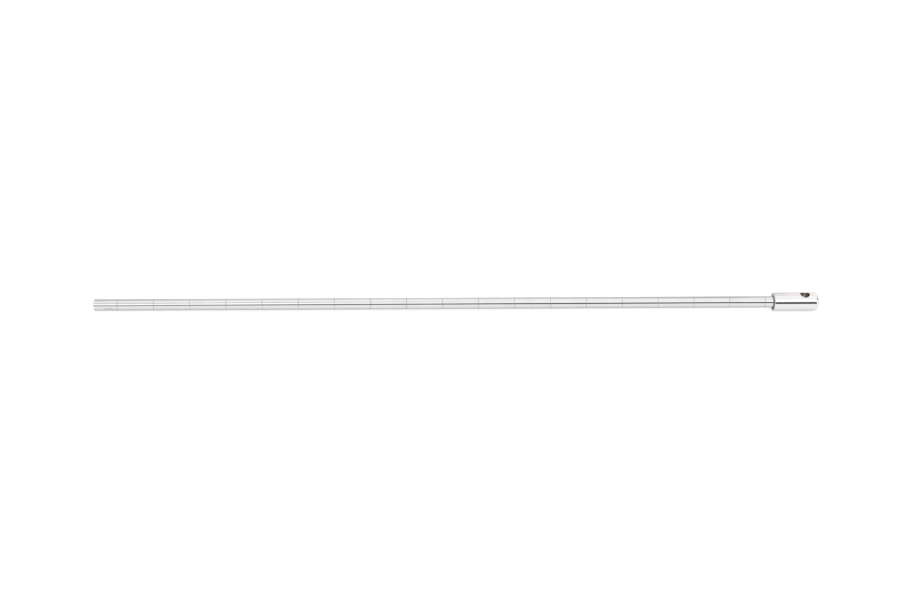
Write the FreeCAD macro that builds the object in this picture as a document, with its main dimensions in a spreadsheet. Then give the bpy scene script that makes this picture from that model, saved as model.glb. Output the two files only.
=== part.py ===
# Graduated ground dibber: a long polished stainless bar with turned depth
# rings, and a heavier cross-drilled head that takes a loose turning bar.
#
# Three separate pieces, as they come apart on a bench:
#   rod            solid bar, square-cut tip, nineteen turned depth rings, and at
#                  the other end a plain register, an undercut and a screwed spigot
#   head           larger cylinder, counterbored and tapped at its inner end,
#                  drilled across near its outer end
#   locking_screw  hexagon-socket dog-point grub screw that locks head to rod
#
# Frame: millimetres, +Z up. The bar lies along X, head towards +X, with its
# axis level. The origin is the middle of the model's length, on the level of
# the head's lowest line. The cross hole is vertical and the locking screw
# enters from the +Y side.
import FreeCAD, Part
import Sketcher
import os
import math

from FreeCAD import Vector

doc = FreeCAD.newDocument("ground_dibber")

# ---------------------------------------------------------------- dimensions
sheet = doc.addObject("Spreadsheet::Sheet", "dimensions")
ROWS = [
    ("rod_diameter", 16.0, "plain bar outside diameter"),
    ("exposed_length", 944.5, "tip face to the head's inner face"),
    ("tip_break", 0.4, "edge break round the tip face"),
    ("ring_first", 32.5, "tip face to the middle of the first depth ring"),
    ("ring_pitch", 50.0, "spacing of the depth rings"),
    ("ring_count", 19, "number of depth rings"),
    ("ring_width", 0.6, "width of a ring at the bar's surface"),
    ("ring_floor", 0.2, "width of a ring at its bottom"),
    ("ring_depth", 0.2, "depth of a ring"),
    ("register_length", 12.0, "length of plain bar inside the head"),
    ("relief_width", 2.5, "thread relief behind the spigot"),
    ("relief_diameter", 9.8, "diameter in the thread relief"),
    ("spigot_diameter", 11.9, "outside diameter of the screwed spigot"),
    ("spigot_length", 17.0, "length of the spigot with its relief"),
    ("spigot_break", 1.0, "lead chamfer on the spigot"),
    ("seat_diameter", 3.8, "drilled seat for the locking screw's dog"),
    ("seat_depth", 1.5, "depth of that seat below the bar's surface"),
    ("screw_from_face", 6.0, "head's inner face to the locking screw"),
    ("head_diameter", 26.0, "head outside diameter"),
    ("head_length", 62.0, "head length"),
    ("head_end_radius", 4.0, "rounding of the struck end"),
    ("head_inner_radius", 0.8, "rounding of the end that faces the tip"),
    ("register_bore", 16.06, "counterbore that takes the bar"),
    ("spigot_bore", 12.0, "bore that takes the spigot, thread not cut"),
    ("spigot_bore_depth", 31.0, "depth of that bore from the inner face"),
    ("cross_hole", 13.0, "hole for the loose turning bar"),
    ("cross_hole_from_end", 18.5, "struck face to the middle of that hole"),
    ("cross_hole_break", 0.3, "rounding of that hole's mouths"),
    ("screw_bore", 5.0, "bore that takes the locking screw"),
    ("screw_diameter", 4.94, "locking screw outside diameter"),
    ("screw_length", 6.0, "locking screw overall length"),
    ("screw_break", 0.4, "chamfer at the socket end"),
    ("dog_diameter", 3.5, "dog point diameter"),
    ("dog_length", 1.4, "dog point length"),
    ("socket_flats", 2.5, "across flats of the hexagon socket"),
    ("socket_depth", 2.6, "depth of the hexagon socket"),
    ("screw_tip_radius", 6.55, "bar axis to the end of the dog point"),
]
for row, (alias, value, note) in enumerate(ROWS, start=1):
    sheet.set("A%d" % row, note)
    sheet.set("B%d" % row, str(value))
    sheet.setAlias("B%d" % row, alias)
doc.recompute()


def D(name):
    """A dimension by name, in the form that expressions use."""
    return "dimensions." + name


def size(name):
    return float(sheet.get(name))


# ------------------------------------------------------------------- helpers
def plane(body, role):
    for feature in body.Origin.OriginFeatures:
        if feature.Role == role:
            return feature
    raise RuntimeError("no origin feature " + role)


def new_sketch(body, name, role):
    sketch = body.newObject("Sketcher::SketchObject", name)
    sketch.AttachmentSupport = [(plane(body, role), "")]
    sketch.MapMode = "FlatFace"
    return sketch


def closed_profile(sketch, points):
    """Closed straight-sided profile. Each point is (x, y) with every
    coordinate an expression, or None where the point lies on an axis.
    All coordinates are positive, so each is one dimension from the origin."""
    values = []
    for px, py in points:
        values.append((evaluate(px), evaluate(py)))
    count = len(points)
    for i in range(count):
        a, b = values[i], values[(i + 1) % count]
        sketch.addGeometry(Part.LineSegment(Vector(a[0], a[1], 0),
                                            Vector(b[0], b[1], 0)), False)
    for i in range(count):
        sketch.addConstraint(Sketcher.Constraint(
            "Coincident", i, 2, (i + 1) % count, 1))
    for i, (px, py) in enumerate(points):
        if px is None:
            sketch.addConstraint(Sketcher.Constraint(
                "PointOnObject", i, 1, -2))
        else:
            c = sketch.addConstraint(Sketcher.Constraint(
                "DistanceX", -1, 1, i, 1, values[i][0]))
            sketch.setExpression("Constraints[%d]" % c, px)
        if py is None:
            sketch.addConstraint(Sketcher.Constraint(
                "PointOnObject", i, 1, -1))
        else:
            c = sketch.addConstraint(Sketcher.Constraint(
                "DistanceY", -1, 1, i, 1, values[i][1]))
            sketch.setExpression("Constraints[%d]" % c, py)


def circle(sketch, x, diameter):
    """Circle centred on the sketch's horizontal axis at x, or on the origin."""
    sketch.addGeometry(Part.Circle(Vector(evaluate(x), 0, 0), Vector(0, 0, 1),
                                   evaluate(diameter) / 2.0), False)
    if x is None:
        sketch.addConstraint(Sketcher.Constraint("Coincident", 0, 3, -1, 1))
    else:
        sketch.addConstraint(Sketcher.Constraint("PointOnObject", 0, 3, -1))
        c = sketch.addConstraint(Sketcher.Constraint(
            "DistanceX", -1, 1, 0, 3, evaluate(x)))
        sketch.setExpression("Constraints[%d]" % c, x)
    c = sketch.addConstraint(Sketcher.Constraint(
        "Diameter", 0, evaluate(diameter)))
    sketch.setExpression("Constraints[%d]" % c, diameter)


def evaluate(expression):
    """Start value of an expression, so that the sketch solves from the
    right place. The expression itself stays bound to the sheet."""
    if expression is None:
        return 0.0
    return float(sheet.evalExpression(expression.replace("dimensions.", "")))


def bind(obj, prop, expression):
    obj.setExpression(prop, expression)


def removed(body, before, least, what):
    """A cut has to take material away: compare volumes."""
    doc.recompute()
    lost = before - body.Shape.Volume
    print("%-34s removed %10.3f mm3" % (what, lost))
    if lost < least:
        raise RuntimeError(what + " removed nothing")
    return body.Shape.Volume


# ----------------------------------------------------------------------- rod
# Own frame: tip face at x = 0, axis along X.
rod = doc.addObject("PartDesign::Body", "rod")
rod.Label = "rod"
profile = new_sketch(rod, "rod_profile", "XY_Plane")
shoulder = "(%s + %s)" % (D("exposed_length"), D("register_length"))
half_rod = "%s / 2" % D("rod_diameter")
half_relief = "%s / 2" % D("relief_diameter")
half_spigot = "%s / 2" % D("spigot_diameter")
spigot_end = "%s + %s" % (shoulder, D("spigot_length"))
closed_profile(profile, [
    (None, None),
    (None, "%s - %s" % (half_rod, D("tip_break"))),
    (D("tip_break"), half_rod),
    (shoulder, half_rod),
    (shoulder, half_relief),
    ("%s + %s" % (shoulder, D("relief_width")), half_relief),
    ("%s + %s + (%s - %s)" % (shoulder, D("relief_width"), half_spigot, half_relief),
     half_spigot),
    ("%s - %s" % (spigot_end, D("spigot_break")), half_spigot),
    (spigot_end, "%s - %s" % (half_spigot, D("spigot_break"))),
    (spigot_end, None),
])
bar = rod.newObject("PartDesign::Revolution", "rod_turning")
bar.Profile = profile
bar.ReferenceAxis = (profile, ["H_Axis"])
bar.Angle = 360
doc.recompute()
volume = rod.Shape.Volume

# depth rings: one turned groove with sloping sides, repeated along the bar
ring = new_sketch(rod, "ring_profile", "XY_Plane")
deep = "%s - %s" % (half_rod, D("ring_depth"))
proud = "%s + 1" % half_rod
flare = "(%s - %s) / 2 * (1 + 1 / %s)" % (D("ring_width"), D("ring_floor"), D("ring_depth"))
closed_profile(ring, [
    ("%s - %s / 2" % (D("ring_first"), D("ring_floor")), deep),
    ("%s + %s / 2" % (D("ring_first"), D("ring_floor")), deep),
    ("%s + %s / 2 + %s" % (D("ring_first"), D("ring_floor"), flare), proud),
    ("%s - %s / 2 - %s" % (D("ring_first"), D("ring_floor"), flare), proud),
])
groove = rod.newObject("PartDesign::Groove", "first_ring")
groove.Profile = ring
groove.ReferenceAxis = (ring, ["H_Axis"])
groove.Angle = 360
volume = removed(rod, volume, 1.0, "first depth ring")
rings = rod.newObject("PartDesign::LinearPattern", "depth_rings")
rings.Originals = [groove]
rings.Direction = (ring, ["H_Axis"])
bind(rings, "Occurrences", D("ring_count"))
bind(rings, "Length", "%s * (%s - 1)" % (D("ring_pitch"), D("ring_count")))
rod.Tip = rings
volume = removed(rod, volume, 15.0, "the other depth rings")

# drilled seat for the locking screw's dog, entered from the +Y side
seat = new_sketch(rod, "seat_circle", "XZ_Plane")
circle(seat, "%s + %s" % (D("exposed_length"), D("screw_from_face")), D("seat_diameter"))
hole = rod.newObject("PartDesign::Pocket", "locking_seat")
hole.Profile = seat
hole.Type = "Length"
hole.Length = 20.0
hole.Reversed = False
# the pocket starts at the seat's floor, inside the bar, and runs outwards
bind(seat, "AttachmentOffset.Base.z",
     "-(%s - %s)" % (half_rod, D("seat_depth")))
doc.recompute()
if rod.Shape.isInside(Vector(size("exposed_length") + size("screw_from_face"),
                             size("rod_diameter") / 2 - 0.2, 0), 1e-6, True):
    hole.Reversed = True
volume = removed(rod, volume, 5.0, "seat for the locking screw")
rod.Tip = hole

# ---------------------------------------------------------------------- head
# Own frame: inner face at x = 0, axis along X, struck face at +X.
head = doc.addObject("PartDesign::Body", "head")
head.Label = "head"
blank = new_sketch(head, "head_profile", "XY_Plane")
half_head = "%s / 2" % D("head_diameter")
closed_profile(blank, [
    (None, None),
    (None, half_head),
    (D("head_length"), half_head),
    (D("head_length"), None),
])
turned = head.newObject("PartDesign::Revolution", "head_turning")
turned.Profile = blank
turned.ReferenceAxis = (blank, ["H_Axis"])
turned.Angle = 360
doc.recompute()
volume = head.Shape.Volume

# counterbore for the bar, bore for the spigot and its drill point
inside = new_sketch(head, "bore_profile", "XY_Plane")
half_register = "%s / 2" % D("register_bore")
half_bore = "%s / 2" % D("spigot_bore")
closed_profile(inside, [
    (None, None),
    (None, half_register),
    (D("register_length"), half_register),
    (D("register_length"), half_bore),
    (D("spigot_bore_depth"), half_bore),
    ("%s + %s * 0.3" % (D("spigot_bore_depth"), D("spigot_bore")), None),
])
bored = head.newObject("PartDesign::Groove", "rod_bore")
bored.Profile = inside
bored.ReferenceAxis = (inside, ["H_Axis"])
bored.Angle = 360
volume = removed(head, volume, 1000.0, "counterbore and spigot bore")

# cross hole, right through from top to bottom
across = new_sketch(head, "cross_hole_circle", "XY_Plane")
circle(across, "%s - %s" % (D("head_length"), D("cross_hole_from_end")), D("cross_hole"))
through = head.newObject("PartDesign::Pocket", "cross_hole_cut")
through.Profile = across
through.Type = "Length"
through.SideType = "Symmetric"
bind(through, "Length", "%s + 10" % D("head_diameter"))
volume = removed(head, volume, 2500.0, "cross hole")

# tapped bore for the locking screw, from the +Y side into the counterbore
tapped = new_sketch(head, "screw_bore_circle", "XZ_Plane")
circle(tapped, D("screw_from_face"), D("screw_bore"))
screw_cut = head.newObject("PartDesign::Pocket", "locking_bore")
screw_cut.Profile = tapped
screw_cut.Type = "Length"
bind(screw_cut, "Length", half_head + " + 5")
doc.recompute()
if head.Shape.isInside(Vector(size("screw_from_face"), 10.5, 0), 1e-6, True):
    screw_cut.Reversed = True
volume = removed(head, volume, 80.0, "locking screw bore")


def edges_of(shape, test):
    return ["Edge%d" % (i + 1) for i, e in enumerate(shape.Edges) if test(e)]


def at_struck_end(edge):
    b = edge.BoundBox
    return (b.XMax - b.XMin < 1e-6 and abs(b.XMin - size("head_length")) < 1e-6
            and b.YMax - b.YMin > size("head_diameter") - 0.01)


rounding = head.newObject("PartDesign::Fillet", "struck_end_rounding")
rounding.Base = (screw_cut, edges_of(screw_cut.Shape, at_struck_end))
bind(rounding, "Radius", D("head_end_radius"))
volume = removed(head, volume, 50.0, "rounding of the struck end")


def at_inner_end(edge):
    b = edge.BoundBox
    return (b.XMax - b.XMin < 1e-6 and abs(b.XMin) < 1e-6
            and b.YMax - b.YMin > size("head_diameter") - 0.01)


inner_rounding = head.newObject("PartDesign::Fillet", "inner_end_rounding")
inner_rounding.Base = (rounding, edges_of(rounding.Shape, at_inner_end))
bind(inner_rounding, "Radius", D("head_inner_radius"))
volume = removed(head, volume, 5.0, "rounding of the inner end")


def at_hole_mouth(edge):
    b = edge.BoundBox
    middle = size("head_length") - size("cross_hole_from_end")
    wide = abs((b.XMax - b.XMin) - size("cross_hole")) < 0.05
    return (wide and abs((b.XMax + b.XMin) / 2 - middle) < 0.05
            and abs(b.ZMax) > 5 and abs(b.ZMax - b.ZMin) < 5)


mouths = head.newObject("PartDesign::Fillet", "cross_hole_mouths")
mouths.Base = (inner_rounding, edges_of(inner_rounding.Shape, at_hole_mouth))
bind(mouths, "Radius", D("cross_hole_break"))
volume = removed(head, volume, 2.0, "rounding of the cross hole's mouths")
head.Tip = mouths

# ------------------------------------------------------------- locking screw
# Own frame: dog end at x = 0, axis along X, socket end at +X.
screw = doc.addObject("PartDesign::Body", "locking_screw")
screw.Label = "locking_screw"
outline = new_sketch(screw, "screw_profile", "XY_Plane")
half_screw = "%s / 2" % D("screw_diameter")
half_dog = "%s / 2" % D("dog_diameter")
closed_profile(outline, [
    (None, None),
    (None, half_dog),
    (D("dog_length"), half_dog),
    ("%s + %s - %s" % (D("dog_length"), half_screw, half_dog), half_screw),
    ("%s - %s" % (D("screw_length"), D("screw_break")), half_screw),
    (D("screw_length"), "%s - %s" % (half_screw, D("screw_break"))),
    (D("screw_length"), None),
])
stem = screw.newObject("PartDesign::Revolution", "screw_turning")
stem.Profile = outline
stem.ReferenceAxis = (outline, ["H_Axis"])
stem.Angle = 360
doc.recompute()
volume = screw.Shape.Volume

# hexagon socket, sunk from the socket end, with the drill point below it
hexagon = new_sketch(screw, "socket_hexagon", "YZ_Plane")
corner = size("socket_flats") / 2.0 / math.cos(math.radians(30))
ring_points = [Vector(corner * math.cos(math.radians(60 * i)),
                      corner * math.sin(math.radians(60 * i)), 0) for i in range(6)]
for i in range(6):
    hexagon.addGeometry(Part.LineSegment(ring_points[i], ring_points[(i + 1) % 6]), False)
hexagon.addGeometry(Part.Circle(Vector(0, 0, 0), Vector(0, 0, 1), corner), True)
for i in range(6):
    hexagon.addConstraint(Sketcher.Constraint("Coincident", i, 2, (i + 1) % 6, 1))
hexagon.addConstraint(Sketcher.Constraint("Coincident", 6, 3, -1, 1))
for i in range(6):
    hexagon.addConstraint(Sketcher.Constraint("PointOnObject", i, 1, 6))
for i in range(5):
    hexagon.addConstraint(Sketcher.Constraint("Equal", i, i + 1))
hexagon.addConstraint(Sketcher.Constraint("PointOnObject", 0, 1, -1))
c = hexagon.addConstraint(Sketcher.Constraint("Diameter", 6, 2 * corner))
hexagon.setExpression("Constraints[%d]" % c, "%s / cos(30)" % D("socket_flats"))
bind(hexagon, "AttachmentOffset.Base.z",
     "%s - %s" % (D("screw_length"), D("socket_depth")))
socket = screw.newObject("PartDesign::Pocket", "hexagon_socket")
socket.Profile = hexagon
socket.Type = "Length"
socket.Length = 6.0
doc.recompute()
if screw.Shape.isInside(Vector(size("screw_length") - 0.5, 0, 0), 1e-6, True):
    socket.Reversed = True
volume = removed(screw, volume, 5.0, "hexagon socket")
drilled = new_sketch(screw, "socket_drill_profile", "XY_Plane")
closed_profile(drilled, [
    ("%s - %s - %s * 0.28" % (D("screw_length"), D("socket_depth"), D("socket_flats")), None),
    ("%s - %s" % (D("screw_length"), D("socket_depth")), "%s / 2 - 0.02" % D("socket_flats")),
    ("%s - %s" % (D("screw_length"), D("socket_depth")), None),
])
point = screw.newObject("PartDesign::Groove", "socket_drill_point")
point.Profile = drilled
point.ReferenceAxis = (drilled, ["H_Axis"])
point.Angle = 360
volume = removed(screw, volume, 0.2, "drill point under the socket")
screw.Tip = point

# ------------------------------------------------------------------ placing
half_total = "(%s + %s) / 2" % (D("exposed_length"), D("head_length"))
bind(rod, "Placement.Base.x", "-" + half_total)
bind(rod, "Placement.Base.z", half_head)
bind(head, "Placement.Base.x", "%s - %s" % (D("exposed_length"), half_total))
bind(head, "Placement.Base.z", half_head)
# the screw's own +X is turned to the frame's +Y
screw.Placement = FreeCAD.Placement(Vector(0, 0, 0),
                                    FreeCAD.Rotation(Vector(0, 0, 1), 90))
bind(screw, "Placement.Base.x",
     "%s + %s - %s" % (D("exposed_length"), D("screw_from_face"), half_total))
bind(screw, "Placement.Base.y", D("screw_tip_radius"))
bind(screw, "Placement.Base.z", half_head)
doc.recompute()

# ------------------------------------------------------------------ checking
problems = []
for obj in doc.Objects:
    if "Invalid" in obj.State or "Error" in obj.State:
        problems.append("%s is %s" % (obj.Name, obj.State))
pieces = [rod, head, screw]
for piece in pieces:
    shape = piece.Shape
    if shape.isNull() or not shape.isValid() or len(shape.Solids) != 1:
        problems.append("%s has no single valid solid" % piece.Label)
        continue
    box = shape.BoundBox
    print("%-14s %10.2f mm3  x %8.2f %8.2f  y %6.2f %6.2f  z %6.2f %6.2f" % (
        piece.Label, shape.Volume, box.XMin, box.XMax, box.YMin, box.YMax,
        box.ZMin, box.ZMax))
for i in range(len(pieces)):
    for j in range(i + 1, len(pieces)):
        shared = pieces[i].Shape.common(pieces[j].Shape).Volume
        gap = pieces[i].Shape.distToShape(pieces[j].Shape)[0]
        print("%s / %s: shared %.4f mm3, nearest %.3f mm" % (
            pieces[i].Label, pieces[j].Label, shared, gap))
        if shared > 0.01:
            problems.append("%s and %s overlap" % (pieces[i].Label, pieces[j].Label))
if problems:
    raise RuntimeError("; ".join(problems))

os.makedirs("parts", exist_ok=True)
for piece in pieces:
    piece.Shape.exportStep(os.path.join("parts", piece.Label + ".step"))
print("wrote", len(pieces), "pieces")
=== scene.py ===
"""Looks for the graduated ground dibber: a long polished stainless bar with
turned depth rings and a cross-drilled head, lying on a white light table.

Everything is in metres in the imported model's frame. The bar lies along X with
its axis level, so the table is tipped a third of a degree: the tip and the
head's inner rim both touch it, as they do when the tool is laid down.
"""
import math

import bpy
from mathutils import Matrix, Vector


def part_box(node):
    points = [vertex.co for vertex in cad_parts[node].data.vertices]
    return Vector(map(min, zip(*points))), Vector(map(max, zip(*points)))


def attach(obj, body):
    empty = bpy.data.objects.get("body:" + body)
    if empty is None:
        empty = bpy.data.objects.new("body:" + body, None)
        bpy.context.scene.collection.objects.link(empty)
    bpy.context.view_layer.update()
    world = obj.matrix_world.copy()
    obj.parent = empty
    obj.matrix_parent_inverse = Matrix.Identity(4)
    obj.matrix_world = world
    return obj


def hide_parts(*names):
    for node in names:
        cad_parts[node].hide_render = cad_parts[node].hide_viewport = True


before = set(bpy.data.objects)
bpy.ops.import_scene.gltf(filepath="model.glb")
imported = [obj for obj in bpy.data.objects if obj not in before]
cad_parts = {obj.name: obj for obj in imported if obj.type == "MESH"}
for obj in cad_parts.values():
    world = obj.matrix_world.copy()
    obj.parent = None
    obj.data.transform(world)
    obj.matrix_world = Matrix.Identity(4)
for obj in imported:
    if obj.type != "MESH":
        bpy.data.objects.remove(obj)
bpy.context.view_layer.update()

# --------------------------------------------------------------- dimensions
rod_low, rod_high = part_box("rod")
head_low, head_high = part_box("head")
screw_low, screw_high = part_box("locking_screw")

TIP = rod_low.x                                  # tip face
AXIS_Z = (head_low.z + head_high.z) / 2          # height of the common axis
ROD_R = 0.0080
HEAD_R = 0.0130
FACE = head_low.x                                # head's inner face
END = head_high.x                                # struck face
RING_FIRST, RING_PITCH, RINGS = 0.0325, 0.050, 19
RING_W, RING_FLOOR, RING_DEPTH = 0.0006, 0.0002, 0.0002
REGISTER = 0.012
SPIGOT_R, RELIEF_R, RELIEF_W = 0.00595, 0.0049, 0.0025
SPIGOT_END = rod_high.x
SEAT_X = FACE + 0.006                            # locking screw, on the +Y side
SEAT_R, SEAT_DEPTH = 0.0019, 0.0015
HOLE_R, HOLE_X, HOLE_BREAK = 0.0065, END - 0.0185, 0.0003
END_ROUND, INNER_ROUND = 0.0040, 0.0008
BORE_R, BORE_DEPTH, COUNTER_R = 0.0060, 0.031, 0.00803
SCREW_BORE_R = 0.0025

STEPS = 192                                      # round the axis


# ------------------------------------------------------------- mesh building
class Skin:
    """Collects faces whose corners carry a position and an exact surface
    normal. Corners at the same place become one vertex, so the skin is closed,
    and each face keeps its own corner normals, so polished surfaces reflect
    without facets."""

    def __init__(self):
        self.verts, self.index, self.faces, self.normals = [], {}, [], []

    def vertex(self, p):
        key = (round(p[0] * 1e8), round(p[1] * 1e8), round(p[2] * 1e8))
        found = self.index.get(key)
        if found is None:
            found = len(self.verts)
            self.index[key] = found
            self.verts.append((p[0], p[1], p[2]))
        return found

    def face(self, corners):
        ids, norms = [], []
        for p, n in corners:
            i = self.vertex(p)
            if i in ids:
                continue
            ids.append(i)
            norms.append(Vector(n))
        if len(ids) < 3:
            return
        a, b, c = (Vector(self.verts[ids[0]]), Vector(self.verts[ids[1]]),
                   Vector(self.verts[ids[2]]))
        flat = (b - a).cross(c - a)
        if len(ids) > 3:
            d = Vector(self.verts[ids[3]])
            flat = (c - a).cross(d - b)
        mean = Vector((0, 0, 0))
        for n in norms:
            mean += n
        if flat.dot(mean) < 0:
            ids.reverse()
            norms.reverse()
        self.faces.append(ids)
        self.normals.append(norms)

    def grid(self, rows, closed=False):
        """rows[i][j] = (position, normal); quads between neighbouring rows."""
        for r0, r1 in zip(rows, rows[1:]):
            n = len(r0)
            for j in range(n if closed else n - 1):
                k = (j + 1) % n
                self.face([r0[j], r0[k], r1[k], r1[j]])

    def zip_loops(self, outer, inner, angle):
        """Triangles between two closed loops that go round the same centre."""
        a = sorted(outer, key=lambda c: angle(c[0]))
        b = sorted(inner, key=lambda c: angle(c[0]))
        ang_a = [angle(c[0]) for c in a] + [angle(a[0][0]) + 2 * math.pi]
        ang_b = [angle(c[0]) for c in b] + [angle(b[0][0]) + 2 * math.pi]
        a, b = a + [a[0]], b + [b[0]]
        i = j = 0
        while i < len(a) - 1 or j < len(b) - 1:
            if j == len(b) - 1 or (i < len(a) - 1 and ang_a[i + 1] <= ang_b[j + 1]):
                self.face([a[i], a[i + 1], b[j]])
                i += 1
            else:
                self.face([a[i], b[j + 1], b[j]])
                j += 1

    def build(self, name):
        mesh = bpy.data.meshes.new(name)
        mesh.from_pydata(self.verts, [], self.faces)
        mesh.polygons.foreach_set("use_smooth", [True] * len(mesh.polygons))
        mesh.update()
        loops = []
        for norms in self.normals:
            loops.extend(tuple(n.normalized()) for n in norms)
        if mesh.validate(verbose=True, clean_customdata=False):
            raise RuntimeError(name + " has a bad face")
        mesh.normals_split_custom_set(loops)
        obj = bpy.data.objects.new(name, mesh)
        bpy.context.scene.collection.objects.link(obj)
        return obj


def around(x, r, a):
    """Point at distance r from the axis; a = 0 is +Y, a = 90 degrees is +Z."""
    return Vector((x, r * math.cos(a), AXIS_Z + r * math.sin(a)))


def turned_row(x, r, nx, nr, steps=STEPS):
    row = []
    for j in range(steps):
        a = 2 * math.pi * j / steps
        row.append((around(x, r, a),
                    Vector((nx, nr * math.cos(a), nr * math.sin(a)))))
    return row


def turned(skin, profile, steps=STEPS, closed=True):
    """profile: list of runs, each a list of (x, r, nx, nr)."""
    for run in profile:
        rows = [turned_row(*p, steps=steps) for p in run]
        skin.grid(rows, closed=closed)


def line(x0, r0, x1, r1, pieces=1):
    """A straight run of a turned profile, walked with the metal on its right
    when x grows, so the outward normal is to the left."""
    dx, dr = x1 - x0, r1 - r0
    length = math.hypot(dx, dr)
    nx, nr = -dr / length, dx / length
    return [(x0 + dx * k / pieces, r0 + dr * k / pieces, nx, nr)
            for k in range(pieces + 1)]


def arc(cx, cr, radius, start, end, pieces=6):
    """A rounded run about (cx, cr), angles in degrees from +X towards +r."""
    out = []
    for k in range(pieces + 1):
        a = math.radians(start + (end - start) * k / pieces)
        out.append((cx + radius * math.cos(a), cr + radius * math.sin(a),
                    math.cos(a), math.sin(a)))
    return out


def disc(skin, x, r_list, nx, steps=STEPS):
    rows = [turned_row(x, r, nx, 0.0, steps) for r in r_list if r > 0]
    skin.grid(rows, closed=True)
    if r_list[-1] == 0:
        centre = (around(x, 0, 0), Vector((nx, 0, 0)))
        last = rows[-1]
        for j in range(steps):
            skin.face([last[j], last[(j + 1) % steps], centre])


# ----------------------------------------------------------------------- rod
def make_rod():
    skin = Skin()
    soft = 0.0004                                 # rounded edge of the tip face
    runs = [arc(TIP + soft, ROD_R - soft, soft, 180, 90, 8)]
    x = TIP + soft
    lip = 0.00004                                 # burnished lip of each ring
    slope = math.degrees(math.atan2(RING_DEPTH, (RING_W - RING_FLOOR) / 2))
    for k in range(RINGS):
        c = TIP + RING_FIRST + RING_PITCH * k
        a, b = c - RING_W / 2, c + RING_W / 2
        t = lip * math.tan(math.radians(slope / 2))
        runs.append(line(x, ROD_R, a - t, ROD_R, 4))
        runs.append(arc(a - t, ROD_R - lip, lip, 90, 90 - slope, 4))
        low = ROD_R - RING_DEPTH
        s, co = math.sin(math.radians(slope)), math.cos(math.radians(slope))
        runs.append(line(a - t + lip * s, ROD_R - lip + lip * co,
                         c - RING_FLOOR / 2, low, 2))
        runs.append(line(c - RING_FLOOR / 2, low, c + RING_FLOOR / 2, low, 1))
        runs.append(line(c + RING_FLOOR / 2, low,
                         b + t - lip * s, ROD_R - lip + lip * co, 2))
        runs.append(arc(b + t, ROD_R - lip, lip, 90 + slope, 90, 4))
        x = b + t
    seat_a, seat_b = SEAT_X - 0.0030, SEAT_X + 0.0030
    runs.append(line(x, ROD_R, seat_a, ROD_R, 3))
    shoulder = FACE + REGISTER
    runs.append(line(seat_b, ROD_R, shoulder, ROD_R, 1))
    runs.append(line(shoulder, ROD_R, shoulder, RELIEF_R, 1))
    runs.append(line(shoulder, RELIEF_R, shoulder + RELIEF_W, RELIEF_R, 1))
    step = SPIGOT_R - RELIEF_R
    runs.append(line(shoulder + RELIEF_W, RELIEF_R,
                     shoulder + RELIEF_W + step, SPIGOT_R, 1))
    # screwed spigot: 1.75 mm pitch, drawn as close rings inside the head
    x = shoulder + RELIEF_W + step
    pitch, crest = 0.00175, SPIGOT_R
    root = SPIGOT_R - 0.00095
    last = SPIGOT_END - 0.0012
    while x + pitch < last:
        runs.append(line(x, crest, x + pitch * 0.12, crest, 1))
        runs.append(line(x + pitch * 0.12, crest, x + pitch * 0.5, root, 1))
        runs.append(line(x + pitch * 0.5, root, x + pitch * 0.62, root, 1))
        runs.append(line(x + pitch * 0.62, root, x + pitch, crest, 1))
        x += pitch
    runs.append(line(x, crest, SPIGOT_END - 0.001, crest, 1))
    runs.append(line(SPIGOT_END - 0.001, crest, SPIGOT_END, crest - 0.001, 1))
    turned(skin, runs)
    # flat tip face, and the spigot's plain end
    disc(skin, TIP, [ROD_R - soft, 0.005, 0.002, 0], -1)
    disc(skin, SPIGOT_END, [crest - 0.001, 0.003, 0], 1)
    # the stretch of register with the drilled seat, a grid with a hole
    holed_band(skin, seat_a, seat_b, ROD_R, 1, SEAT_X, SEAT_R, 24, 20)
    rim, floor = [], []
    count = 64
    depth_r = ROD_R - SEAT_DEPTH
    for j in range(count):
        f = 2 * math.pi * j / count
        dx, dz = SEAT_R * math.cos(f), SEAT_R * math.sin(f)
        y = math.sqrt(ROD_R ** 2 - dz ** 2)
        n = Vector((-math.cos(f), 0, -math.sin(f)))
        rim.append((Vector((SEAT_X + dx, y, AXIS_Z + dz)), n))
        floor.append((Vector((SEAT_X + dx, depth_r, AXIS_Z + dz)), n))
    skin.grid([rim, floor], closed=True)
    up = Vector((0, 1, 0))
    centre = (Vector((SEAT_X, depth_r, AXIS_Z)), up)
    for j in range(count):
        skin.face([(floor[j][0], up), (floor[(j + 1) % count][0], up), centre])
    return skin.build("polished_rod")


def holed_band(skin, x0, x1, r, sign, hx, hr, half, cells, count=64):
    """Band of a cylinder about the main axis, x0 to x1, with one round hole
    of radius hr entered along +Y at hx. sign is +1 for an outside wall."""
    def corner(x, a):
        return (around(x, r, a), Vector((0, sign * math.cos(a), sign * math.sin(a))))
    step = 2 * math.pi / STEPS
    xs = [x0 + (x1 - x0) * k / cells for k in range(cells + 1)]
    for j in range(STEPS):
        jj = j if j < STEPS // 2 else j - STEPS
        if -half <= jj < half:
            continue
        a0, a1 = jj * step, (jj + 1) * step
        for k in range(cells):
            skin.face([corner(xs[k], a0), corner(xs[k], a1),
                       corner(xs[k + 1], a1), corner(xs[k + 1], a0)])
    border = []
    for k in range(cells):
        border.append(corner(xs[k], -half * step))
        border.append(corner(xs[k + 1], half * step))
    for j in range(-half, half):
        border.append(corner(xs[-1], j * step))
        border.append(corner(xs[0], (j + 1) * step))
    hole = []
    for j in range(count):
        f = 2 * math.pi * j / count
        dx, dz = hr * math.cos(f), hr * math.sin(f)
        y = math.sqrt(r * r - dz * dz)
        hole.append((Vector((hx + dx, y, AXIS_Z + dz)),
                     Vector((0, sign * y / r, sign * dz / r))))

    def angle(p):
        return math.atan2(math.asin(max(-1, min(1, (p.z - AXIS_Z) / r))) * r,
                          p.x - hx) % (2 * math.pi)
    skin.zip_loops(border, hole, angle)
    return hole


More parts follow.
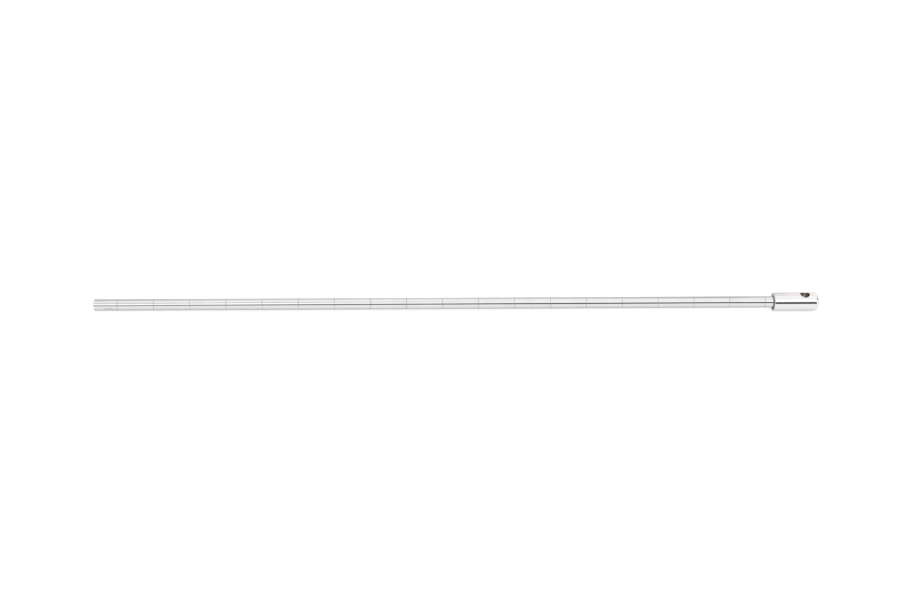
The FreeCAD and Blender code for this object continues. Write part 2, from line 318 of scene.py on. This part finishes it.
# ---------------------------------------------------------------------- head
def hole_section(f):
    """Section of the cross hole's mouth at angle f round the hole: where the
    rounding starts on the outside, its curve and where it meets the wall.
    Returned as (distance from the hole's axis, height above the bar's axis,
    outward slope normal (radial, up)), outside first."""
    sn = math.sin(f)

    def height(rho):
        return math.sqrt(HEAD_R ** 2 - (rho * sn) ** 2)

    r = HOLE_BREAK
    cx = HOLE_R + r
    # centre of the rounding: r from the wall and r from the outside curve
    z = height(cx) - r
    for _ in range(30):
        # nearest point of the outside curve to (cx, z)
        rho = cx
        for _ in range(20):
            h = height(rho)
            slope = -rho * sn * sn / h
            # move along the tangent towards the foot of the perpendicular
            rho += ((cx - rho) + (z - h) * slope) / (1 + slope * slope)
        h = height(rho)
        dist = math.hypot(cx - rho, z - h)
        z -= (r - dist)
    slope = -rho * sn * sn / height(rho)
    top = math.atan2(1.0, -slope)                 # angle of the outside normal
    points = []
    for k in range(9):
        a = top + (math.pi - top) * k / 8
        points.append((cx + r * math.cos(a), z + r * math.sin(a),
                       math.cos(a), math.sin(a)))
    return points


def make_head():
    skin = Skin()
    step = 2 * math.pi / STEPS
    # outside, inner rim to the struck end, in bands
    a0, b0 = FACE + INNER_ROUND, SEAT_X - 0.0032
    turned(skin, [
        arc(a0, HEAD_R - INNER_ROUND, INNER_ROUND, 180, 90, 14),
        line(a0, HEAD_R, b0, HEAD_R, 1),
    ])
    b1 = SEAT_X + 0.0035
    c0, c1 = HOLE_X - 0.0085, HOLE_X + 0.0085
    turned(skin, [line(b1, HEAD_R, c0, HEAD_R, 6),
                  line(c1, HEAD_R, END - END_ROUND, HEAD_R, 3),
                  arc(END - END_ROUND, HEAD_R - END_ROUND, END_ROUND, 90, 0, 14)])
    # flat struck face
    disc(skin, END, [HEAD_R - END_ROUND, 0.008, 0.004, 0], 1)
    # band with the locking screw's bore, on the +Y side
    chamfer = 0.00025
    holed_band(skin, b0, b1, HEAD_R, 1, SEAT_X, SCREW_BORE_R + chamfer, 8, 16)
    outer, lip, inner = [], [], []
    count = 64
    for j in range(count):
        f = 2 * math.pi * j / count
        c, s = math.cos(f), math.sin(f)
        ro, ri = SCREW_BORE_R + chamfer, SCREW_BORE_R
        yo = math.sqrt(HEAD_R ** 2 - (ro * s) ** 2)
        yi = math.sqrt(COUNTER_R ** 2 - (ri * s) ** 2)
        n45 = Vector((-c * 0.7071, 0.7071, -s * 0.7071))
        n = Vector((-c, 0, -s))
        outer.append((Vector((SEAT_X + ro * c, yo, AXIS_Z + ro * s)), n45))
        lip.append((Vector((SEAT_X + ri * c, yo - chamfer, AXIS_Z + ri * s)), n45))
        inner.append((Vector((SEAT_X + ri * c, yi, AXIS_Z + ri * s)), n))
    skin.grid([outer, lip], closed=True)
    skin.grid([[(p, inner[j][1]) for j, (p, _) in enumerate(lip)], inner], closed=True)
    # band with the cross hole's two mouths
    half, cells = 20, 40
    xs = [c0 + (c1 - c0) * k / cells for k in range(cells + 1)]

    def outside(x, a):
        return (around(x, HEAD_R, a), Vector((0, math.cos(a), math.sin(a))))
    top, bottom = STEPS // 4, 3 * STEPS // 4
    for j in range(STEPS):
        if top - half <= j < top + half or bottom - half <= j < bottom + half:
            continue
        for k in range(cells):
            skin.face([outside(xs[k], j * step), outside(xs[k], (j + 1) * step),
                       outside(xs[k + 1], (j + 1) * step), outside(xs[k + 1], j * step)])
    sections = []
    loop = []                                    # square border, 160 points
    for k in range(cells):
        loop.append((xs[k] - HOLE_X, -half))
    for j in range(-half, half):
        loop.append((c1 - HOLE_X, j))
    for k in range(cells):
        loop.append((xs[cells - k] - HOLE_X, half))
    for j in range(half, -half, -1):
        loop.append((c0 - HOLE_X, j))
    for dx, j in loop:
        # direction of each border point, seen along the hole
        s = j * step * HEAD_R
        f = math.atan2(s, dx)
        sections.append((f, hole_section(f)))
    for side in (1, -1):
        rows = []
        layers = 7
        for m in range(layers + 1):
            t = m / layers
            t = t * t * 0.35 + t * 0.65
            row = []
            for (dx, j), (f, sec) in zip(loop, sections):
                if m == layers:
                    rho, z, nr, nz = sec[0]
                    row.append((Vector((HOLE_X + rho * math.cos(f), rho * math.sin(f),
                                        AXIS_Z + side * z)),
                                Vector((nr * math.cos(f), nr * math.sin(f), side * nz))))
                    continue
                rho = sec[0][0]
                xi = rho * math.cos(f)
                yi = rho * math.sin(f)
                ai = math.asin(yi / HEAD_R)
                ax = dx + (xi - dx) * t
                aa = j * step + (ai - j * step) * t
                y, z = HEAD_R * math.sin(aa), HEAD_R * math.cos(aa)
                row.append((Vector((HOLE_X + ax, y, AXIS_Z + side * z)),
                            Vector((0, y, side * z)) / HEAD_R))
            rows.append(row)
        skin.grid(rows, closed=True)
        rows = []
        for k in range(9):
            row = []
            for f, sec in sections:
                rho, z, nr, nz = sec[k]
                row.append((Vector((HOLE_X + rho * math.cos(f), rho * math.sin(f),
                                    AXIS_Z + side * z)),
                            Vector((nr * math.cos(f), nr * math.sin(f), side * nz))))
            rows.append(row)
        # the first row of the rounding is the last row of the outside
        skin.grid(rows, closed=True)
    rows = []
    for m in range(17):
        t = 1 - 2 * m / 16
        row = []
        for f, sec in sections:
            rho, z = sec[-1][0], sec[-1][1]
            row.append((Vector((HOLE_X + HOLE_R * math.cos(f), HOLE_R * math.sin(f),
                                AXIS_Z + t * z)),
                        Vector((-math.cos(f), -math.sin(f), 0))))
        rows.append(row)
    skin.grid(rows, closed=True)
    # inner face, counterbore, spigot bore and its drill point
    disc(skin, FACE, [HEAD_R - INNER_ROUND, 0.0092, COUNTER_R + 0.0002], -1)
    inside = [
        [(FACE, COUNTER_R + 0.0002, -0.7, -0.7), (FACE + 0.0002, COUNTER_R, -0.7, -0.7)],
        [(FACE + 0.0002, COUNTER_R, 0, -1), (SEAT_X - 0.0035, COUNTER_R, 0, -1)],
        [(SEAT_X + 0.0035, COUNTER_R, 0, -1), (FACE + REGISTER, COUNTER_R, 0, -1)],
        [(FACE + REGISTER, COUNTER_R, -1, 0), (FACE + REGISTER, BORE_R, -1, 0)],
        [(FACE + REGISTER, BORE_R, 0, -1), (FACE + BORE_DEPTH, BORE_R, 0, -1)],
        [(FACE + BORE_DEPTH, BORE_R, -0.86, -0.5),
         (FACE + BORE_DEPTH + 0.0035, 0.0002, -0.86, -0.5)],
    ]
    turned(skin, inside)
    disc(skin, FACE + BORE_DEPTH + 0.0035, [0.0002, 0], -1)
    holed_band(skin, SEAT_X - 0.0035, SEAT_X + 0.0035, COUNTER_R, -1,
               SEAT_X, SCREW_BORE_R, 16, 16)
    return skin.build("polished_head")


# ---------------------------------------------------------------- materials
class Nodes:
    """Short way to write a node tree."""

    def __init__(self, tree):
        self.tree = tree
        tree.nodes.clear()

    def add(self, kind, **props):
        node = self.tree.nodes.new(kind)
        for k, v in props.items():
            setattr(node, k, v)
        return node

    def link(self, a, b):
        self.tree.links.new(a, b)

    def put(self, socket, value):
        if hasattr(value, "is_output"):
            self.link(value, socket)
        else:
            socket.default_value = value

    def math(self, op, a, b=None, c=None, clamp=False):
        node = self.add("ShaderNodeMath", operation=op, use_clamp=clamp)
        self.put(node.inputs[0], a)
        if b is not None:
            self.put(node.inputs[1], b)
        if c is not None:
            self.put(node.inputs[2], c)
        return node.outputs[0]

    def smooth(self, value, lo, hi, out_lo=0.0, out_hi=1.0, kind="SMOOTHSTEP"):
        node = self.add("ShaderNodeMapRange", interpolation_type=kind)
        self.put(node.inputs["Value"], value)
        self.put(node.inputs["From Min"], lo)
        self.put(node.inputs["From Max"], hi)
        self.put(node.inputs["To Min"], out_lo)
        self.put(node.inputs["To Max"], out_hi)
        return node.outputs["Result"]

    def noise(self, vector, scale, detail=2.0, rough=0.5):
        node = self.add("ShaderNodeTexNoise")
        self.put(node.inputs["Vector"], vector)
        node.inputs["Scale"].default_value = scale
        node.inputs["Detail"].default_value = detail
        node.inputs["Roughness"].default_value = rough
        return node.outputs["Fac"]

    def vector(self, x, y, z):
        node = self.add("ShaderNodeCombineXYZ")
        self.put(node.inputs[0], x)
        self.put(node.inputs[1], y)
        self.put(node.inputs[2], z)
        return node.outputs[0]

    def mix_colour(self, fac, a, b):
        node = self.add("ShaderNodeMix", data_type="RGBA")
        self.put(node.inputs[0], fac)
        self.put(node.inputs[6], a)
        self.put(node.inputs[7], b)
        return node.outputs[2]


def axis_coordinates(n):
    """x along the bar, distance from the axis, angle round it (0 at +Y)."""
    coord = n.add("ShaderNodeTexCoord").outputs["Object"]
    split = n.add("ShaderNodeSeparateXYZ")
    n.link(coord, split.inputs[0])
    x, y = split.outputs[0], split.outputs[1]
    z = n.math("SUBTRACT", split.outputs[2], AXIS_Z)
    r = n.math("SQRT", n.math("ADD", n.math("MULTIPLY", y, y), n.math("MULTIPLY", z, z)))
    a = n.math("ARCTAN2", z, y)
    return coord, x, y, z, r, a


def polished_steel(name, colour, painted_shade_colour, rough, head=False):
    mat = bpy.data.materials.new(name)
    mat.use_nodes = True
    n = Nodes(mat.node_tree)
    out = n.add("ShaderNodeOutputMaterial")
    bsdf = n.add("ShaderNodeBsdfPrincipled")
    n.link(bsdf.outputs[0], out.inputs[0])
    bsdf.inputs["Metallic"].default_value = 1.0
    bsdf.inputs["Anisotropic"].default_value = 0.0
    coord, x, y, z, r, a = axis_coordinates(n)
    # polishing lines run round the bar: fast change along x, slow round it
    round_v = n.vector(n.math("MULTIPLY", x, 1.0), n.math("MULTIPLY", y, 0.02),
                       n.math("MULTIPLY", z, 0.02))
    lines = n.noise(round_v, 2600.0, 3.0, 0.65)
    # handling scratches run along it
    along_v = n.vector(n.math("MULTIPLY", x, 0.02), y, z)
    scratches = n.noise(along_v, 2400.0, 2.0, 0.6)
    # slow cloudiness of the polish
    cloud = n.noise(coord, 55.0, 3.0, 0.55)
    shade = n.math("ADD", n.math("MULTIPLY", lines, 0.35),
                   n.math("ADD", n.math("MULTIPLY", scratches, 0.2),
                          n.math("MULTIPLY", cloud, 0.45)))
    fac = n.smooth(shade, 0.36, 0.64, kind="LINEAR")
    # the metal is rougher where the polisher can't reach; on the bar everything below its outer radius (ring
    # grooves, seat, flat tip face) is also darkened, which in the grooves is painted shade
    if head:
        reach_hole = n.math("SQRT", n.math("ADD",
            n.math("POWER", n.math("SUBTRACT", x, HOLE_X), 2.0),
            n.math("MULTIPLY", y, y)))
        in_hole = n.math("MULTIPLY", n.smooth(reach_hole, HOLE_R + 0.00012, HOLE_R + 0.00035, 1.0, 0.0),
                         n.smooth(r, HEAD_R - 0.0018, HEAD_R - 0.0004, 1.0, 0.0))
        in_face = n.smooth(x, FACE + 0.00004, FACE + 0.00030, 1.0, 0.0)
        rougher_and_groove_shade = n.math("MULTIPLY", in_hole, 0.35)
    else:
        rougher_and_groove_shade = n.smooth(r, ROD_R - 0.00021, ROD_R - 0.00003, 1.0, 0.0)
    base = n.mix_colour(fac, tuple(colour[i] * 0.965 for i in range(3)) + (1,),
                        tuple(min(1, colour[i] * 1.035) for i in range(3)) + (1,))
    if head:
        # inside the cross hole the wall is painted: a light warm tone as painted light, darker at its two ends
        # along the bar as painted shade
        hole_end_shade = n.smooth(n.math("ABSOLUTE", n.math("SUBTRACT", x, HOLE_X)), 0.0044, 0.0062)
        hole_wall_light_and_shade = n.mix_colour(hole_end_shade, (0.76, 0.715, 0.62, 1), (0.38, 0.36, 0.32, 1))
        base = n.mix_colour(in_hole, base, hole_wall_light_and_shade)
        # the inner face is left as turned and its tone is painted: light satin near its edge
        # as painted light, dark as painted shade close round the bar where it meets the head;
        # the painted shade is lopsided, reaching further out on the -Y side
        face_light_mask = n.smooth(n.math("ADD", r, n.math("MULTIPLY", y, 0.15)), 0.0094, 0.0112)
        painted_face_tone = n.mix_colour(face_light_mask, tuple(painted_shade_colour) + (1,), (0.84, 0.82, 0.79, 1))
        base = n.mix_colour(in_face, base, painted_face_tone)
        painted_light_satin = n.math("MULTIPLY", in_face, face_light_mask)
        n.link(n.math("SUBTRACT", 1.0, n.math("MULTIPLY", painted_light_satin, 0.8)), bsdf.inputs["Metallic"])
        rougher_and_groove_shade = n.math("MAXIMUM", rougher_and_groove_shade, in_face)
    else:
        # painted shade: the bar is darkened below its outer radius, in the ring grooves, the seat and the flat tip
        # face
        base = n.mix_colour(rougher_and_groove_shade, base, tuple(painted_shade_colour) + (1,))
    roughness = n.math("ADD", n.math("MULTIPLY", shade, rough * 0.8), rough * 0.6)
    roughness = n.math("ADD", roughness, n.math("MULTIPLY", rougher_and_groove_shade, 0.22))
    if not head:
        # plain etched panel near the tip, a hatched field with no lettering
        px = n.math("SUBTRACT", x, TIP + 0.0207)
        # angle wraps at 180 degrees, so measure it from the -Y side
        front = n.math("ARCTAN2", n.math("MULTIPLY", z, -1.0), n.math("MULTIPLY", y, -1.0))
        arc_mm = n.math("MULTIPLY", n.math("SUBTRACT", front, math.radians(8.0)), ROD_R)
        in_x = n.smooth(n.math("ABSOLUTE", px), 0.0050, 0.0053, 1.0, 0.0)
        in_a = n.smooth(n.math("ABSOLUTE", arc_mm), 0.0016, 0.0018, 1.0, 0.0)
        hatch = n.math("SINE", n.math("MULTIPLY", n.math("ADD", px, arc_mm), 2 * math.pi / 0.00055))
        hatch = n.smooth(hatch, -0.2, 0.2, 0.35, 1.0)
        panel = n.math("MULTIPLY", n.math("MULTIPLY", in_x, in_a), hatch)
        base = n.mix_colour(panel, base, (0.44, 0.435, 0.43, 1))
        roughness = n.math("ADD", roughness, n.math("MULTIPLY", panel, 0.25))
    n.link(base, bsdf.inputs["Base Color"])
    n.link(roughness, bsdf.inputs["Roughness"])
    bump = n.add("ShaderNodeBump")
    bump.inputs["Strength"].default_value = 0.35
    bump.inputs["Distance"].default_value = 0.0000007
    height = n.math("ADD", lines, n.math("MULTIPLY", scratches, 0.6))
    n.link(height, bump.inputs["Height"])
    n.link(bump.outputs[0], bsdf.inputs["Normal"])
    return mat


def screw_steel():
    mat = bpy.data.materials.new("machined_screw_steel")
    mat.use_nodes = True
    n = Nodes(mat.node_tree)
    out = n.add("ShaderNodeOutputMaterial")
    bsdf = n.add("ShaderNodeBsdfPrincipled")
    n.link(bsdf.outputs[0], out.inputs[0])
    bsdf.inputs["Metallic"].default_value = 1.0
    coord = n.add("ShaderNodeTexCoord").outputs["Object"]
    grain = n.noise(coord, 3800.0, 3.0, 0.6)
    tone = n.noise(coord, 420.0, 2.0, 0.5)
    n.link(n.mix_colour(tone, (0.33, 0.325, 0.32, 1), (0.46, 0.455, 0.45, 1)),
           bsdf.inputs["Base Color"])
    n.link(n.math("ADD", n.math("MULTIPLY", grain, 0.22), 0.22), bsdf.inputs["Roughness"])
    bump = n.add("ShaderNodeBump")
    bump.inputs["Strength"].default_value = 0.4
    bump.inputs["Distance"].default_value = 0.000006
    n.link(grain, bump.inputs["Height"])
    n.link(bump.outputs[0], bsdf.inputs["Normal"])
    return mat


# ----------------------------------------------------------------- the tool
rod = make_rod()
# the second colour is the darkening below the bar's outer radius, painted shade in the ring grooves
rod.data.materials.append(polished_steel(
    "polished_bar_steel", (0.60, 0.59, 0.585), (0.30, 0.295, 0.29), 0.07))
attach(rod, "root")
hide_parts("rod")

head = make_head()
# the second colour is painted shade on the inner face close round the bar
head.data.materials.append(polished_steel(
    "polished_head_steel", (0.635, 0.625, 0.62), (0.09, 0.086, 0.082), 0.065, head=True))
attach(head, "root")
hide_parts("head")

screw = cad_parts["locking_screw"]
screw.data.materials.clear()
screw.data.materials.append(screw_steel())

# --------------------------------------------------------------- the stage
# the table touches the tip and the head's inner rim
tilt = math.atan2((HEAD_R - ROD_R), FACE + INNER_ROUND - TIP)
floor_mesh = bpy.data.meshes.new("light_table")
along = Vector((math.cos(tilt), 0, -math.sin(tilt)))
touch = Vector((FACE + INNER_ROUND, 0, AXIS_Z - HEAD_R - 0.00002))
size = 40.0
floor_mesh.from_pydata(
    [touch + along * sx * size + Vector((0, sy * size, 0)) for sx, sy in
     ((-1, -1), (1, -1), (1, 1), (-1, 1))], [], [(0, 1, 2, 3)])
floor = bpy.data.objects.new("light_table", floor_mesh)
bpy.context.scene.collection.objects.link(floor)
mat = bpy.data.materials.new("light_table_white")
mat.use_nodes = True
n = Nodes(mat.node_tree)
out = n.add("ShaderNodeOutputMaterial")
diffuse = n.add("ShaderNodeBsdfDiffuse")
diffuse.inputs[0].default_value = (0.36, 0.36, 0.36, 1)
glow = n.add("ShaderNodeEmission")
glow.inputs[0].default_value = (1, 1, 1, 1)
# lit from below; painted shadow: the glow the metal sees is dimmed close under
# the bar, standing in for the bar's shade on the sheet
path = n.add("ShaderNodeLightPath")
across = n.add("ShaderNodeSeparateXYZ")
n.link(n.add("ShaderNodeNewGeometry").outputs["Position"], across.inputs[0])
under_bar_shadow = n.math("DIVIDE", across.outputs[1], 0.011)
under_bar_shadow = n.math("EXPONENT", n.math("MULTIPLY", n.math("MULTIPLY", under_bar_shadow, under_bar_shadow), -1.0))
seen_by_metal = n.math("MULTIPLY", n.math("SUBTRACT", 1.0, n.math("MULTIPLY", under_bar_shadow, 0.56)), 0.97)
# painted shade: a slight further dimming along the length under the bar
seen_by_metal = n.math("MULTIPLY", seen_by_metal, n.math("SUBTRACT", 1.0, n.math("MULTIPLY", 0.05,
    n.math("MULTIPLY", n.smooth(across.outputs[0], 0.0, 0.15), n.smooth(across.outputs[0], 0.44, 0.40)))))
# painted shade: the glow is dimmed on the far side of the sheet, behind the bar
seen_by_metal = n.math("MULTIPLY", seen_by_metal, n.smooth(across.outputs[1], 0.006, 0.030, 1.0, 0.25))
seen_directly = 0.78
camera_ray = path.outputs["Is Camera Ray"]
n.link(n.math("ADD", n.math("MULTIPLY", camera_ray, seen_directly),
              n.math("MULTIPLY", n.math("SUBTRACT", 1.0, camera_ray), seen_by_metal)),
       glow.inputs[1])
both = n.add("ShaderNodeAddShader")
n.link(diffuse.outputs[0], both.inputs[0])
n.link(glow.outputs[0], both.inputs[1])
n.link(both.outputs[0], out.inputs[0])
floor_mesh.materials.append(mat)

# ------------------------------------------------------------- the lighting
# A white light tent seen as one surrounding: E is the height angle in the
# plane across the bar, 0 at the front horizon, 90 overhead, 180 at the back.
world = bpy.data.worlds.new("light_tent")
bpy.context.scene.world = world
world.use_nodes = True
n = Nodes(world.node_tree)
out = n.add("ShaderNodeOutputWorld")
back = n.add("ShaderNodeBackground")
n.link(back.outputs[0], out.inputs[0])
coord = n.add("ShaderNodeTexCoord").outputs["Generated"]
split = n.add("ShaderNodeSeparateXYZ")
n.link(coord, split.inputs[0])
dx, dy, dz = split.outputs
E = n.math("MULTIPLY", n.math("ARCTAN2", dz, n.math("MULTIPLY", dy, -1.0)), 180 / math.pi)


def curve(n, value, low, high, points, top=2.0):
    """Piecewise straight curve of one value, as a colour ramp."""
    ramp = n.add("ShaderNodeValToRGB")
    ramp.color_ramp.interpolation = "LINEAR"
    e = ramp.color_ramp.elements
    while len(e) > 1:
        e.remove(e[-1])
    for k, (at, v) in enumerate(points):
        place = (at - low) / (high - low)
        item = e[0] if k == 0 else e.new(place)
        item.position = place
        item.color = (v / top, v / top, v / top, 1)
    n.link(n.math("DIVIDE", n.math("SUBTRACT", value, low), high - low), ramp.inputs[0])
    sep = n.add("ShaderNodeSeparateColor")
    n.link(ramp.outputs[0], sep.inputs[0])
    return n.math("MULTIPLY", sep.outputs[0], top)


def blend_in(n, fac, a, b):
    """a where fac is 0, b where it is 1."""
    return n.math("ADD", a, n.math("MULTIPLY", fac, n.math("SUBTRACT", b, a)))


def window(n, value, a, b, c, d):
    """0 below a, 1 from b to c, 0 above d."""
    return n.math("MULTIPLY", n.smooth(value, a, b), n.smooth(value, d, c))


# the tent stands a touch nearer over the bar than over the head
E = n.math("ADD", E, n.smooth(dx, 0.245, 0.275, 3.4, 2.6))
# walls and ceiling of the tent, by height angle
level = curve(n, E, -184.0, 184.0, [
    (-180, 1.40), (-1, 1.40), (6, 1.38), (11, 1.50), (33, 1.70), (58, 1.68), (68, 1.50),
    (78, 1.46), (90, 1.52), (104, 1.48), (114, 1.28), (124, 1.12), (140, 1.06),
    (152, 0.94), (166, 0.88), (184, 0.84)])
# front of the ceiling: a little weaker over the middle
part = curve(n, dx, -1.0, 1.0, [(-1, 1.12), (-0.135, 1.10), (-0.03, 0.90), (0.24, 0.90), (0.28, 1), (1, 1)])
level = blend_in(n, window(n, E, 38.0, 44.0, 62.0, 70.0), level, n.math("MULTIPLY", level, part))
# middle of the ceiling: weaker at the left end
part = curve(n, dx, -1.0, 1.0, [(-1, 0.9), (-0.25, 0.92), (-0.15, 1.04), (0.0, 1.04), (0.2, 1.0), (1, 1)])
level = blend_in(n, window(n, E, 68.0, 76.0, 108.0, 120.0), level, n.math("MULTIPLY", level, part))
# back wall: stronger behind the right end
part = curve(n, dx, -1.0, 1.0, [(-1, 0.86), (-0.25, 0.86), (-0.135, 1.06), (0.0, 1.15), (0.125, 1.0), (0.235, 0.76),
                              (0.27, 1.15), (0.29, 1.42), (1, 1.42)])
level = blend_in(n, n.smooth(E, 112.0, 140.0), level, n.math("MULTIPLY", level, part))
# a dim seam in the ceiling, running off at an angle to the bar
seam_at = n.math("ADD", n.math("MULTIPLY", n.math("MINIMUM", dx, 0.04), 57.0), 76.0)
seam_off = n.math("ABSOLUTE", n.math("SUBTRACT", E, seam_at))
seam = n.smooth(seam_off, 3.0, 5.5, 1.0, 0.0)
seam_level = curve(n, dx, -1.0, 1.0, [(-1, 0.20), (-0.25, 0.20), (-0.135, 0.0), (-0.02, 0.75),
                                      (0.10, 1.30), (0.3, 1.25), (1.0, 1.25)])
level = blend_in(n, seam, level, seam_level)
# the opening at the front, dark towards the right and half lit at the left
sill = curve(n, dx, -1.0, 1.0, [(-1, 8), (-0.25, 8), (-0.135, 11.7), (0.0, 12.3), (0.125, 11.2),
                                (0.24, 12.5), (0.27, 7.8), (1.0, 7.8)], 50.0)
lintel = curve(n, dx, -1.0, 1.0, [(-1, 33.3), (-0.135, 33.6), (0.0, 34.4), (0.125, 36), (0.24, 36),
                                  (0.27, 32.2), (1.0, 32.2)], 50.0)
above_sill = n.smooth(n.math("SUBTRACT", E, sill), -0.8, 0.8)
below_lintel = n.smooth(n.math("SUBTRACT", E, lintel), 0.8, -0.8)
opening = n.math("MULTIPLY", above_sill, below_lintel)
opening = n.math("MULTIPLY", opening, n.smooth(dx, 0.62, 0.44))
opening_level = curve(n, dx, -1.0, 1.0, [
    (-1, 1.2), (-0.30, 0.80), (-0.226, 0.60), (-0.12, 0.26), (0.0, 0.14), (0.10, 0.07), (1.0, 0.05)])
level = blend_in(n, opening, level, opening_level)
# the unlit gap at the tent's right end
gap = n.math("MULTIPLY", window(n, E, 52.0, 66.0, 100.0, 118.0), n.smooth(dx, 0.52, 0.72))
level = blend_in(n, gap, level, 0.36)
# and the open left end, where the bar is slid in
level = blend_in(n, n.math("MULTIPLY", window(n, E, -4.0, 2.0, 100.0, 140.0), n.smooth(dx, -0.45, -0.65)),
                 level, 0.30)
n.link(level, back.inputs[1])
# a warm back wall and a cool ceiling towards the right
warm = n.math("MULTIPLY", n.smooth(E, 112.0, 135.0), n.smooth(dx, 0.25, 0.28))
cool = n.math("MULTIPLY", n.smooth(dx, 0.0, 0.25), n.math(
    "MULTIPLY", n.smooth(E, 55.0, 70.0), n.smooth(E, 110.0, 95.0)))
tint = n.mix_colour(warm, (1.0, 1.0, 1.0, 1), (1.03, 0.985, 0.975, 1))
tint = n.mix_colour(cool, tint, (0.97, 1.0, 1.04, 1))
n.link(tint, back.inputs[0])

# --------------------------------------------------------------- the camera
FOCAL = 1250.0                                   # pixels across a 900 wide frame
ELEV = math.radians(33.5)
CENTRE_X, DIST = TIP + 0.4624, 1.7420
PAN, TILT, ROLL = (math.radians(v) for v in (1.000, 0.153, -0.271))
pos = Vector((CENTRE_X, 0, AXIS_Z)) + DIST * Vector((0, -math.cos(ELEV), math.sin(ELEV)))
fwd = Vector((0, math.cos(ELEV), -math.sin(ELEV)))
right = Vector((1, 0, 0))
up = right.cross(fwd)
fwd, right = (math.cos(PAN) * fwd + math.sin(PAN) * right,
              math.cos(PAN) * right - math.sin(PAN) * fwd)
fwd, up = (math.cos(TILT) * fwd + math.sin(TILT) * up,
           math.cos(TILT) * up - math.sin(TILT) * fwd)
right, up = (math.cos(ROLL) * right + math.sin(ROLL) * up,
             math.cos(ROLL) * up - math.sin(ROLL) * right)
camera_data = bpy.data.cameras.new("camera")
camera_data.sensor_fit = "HORIZONTAL"
camera_data.sensor_width = 36.0
camera_data.lens = FOCAL * 36.0 / 900.0
camera_data.clip_start, camera_data.clip_end = 0.01, 50.0
camera = bpy.data.objects.new("camera", camera_data)
bpy.context.scene.collection.objects.link(camera)
turn = Matrix((right, up, -fwd)).transposed().to_4x4()
camera.matrix_world = Matrix.Translation(pos) @ turn
bpy.context.scene.camera = camera

view = bpy.context.scene.view_settings
view.view_transform = "Standard"
view.look = "None"
view.exposure = 0.0
view.gamma = 1.0
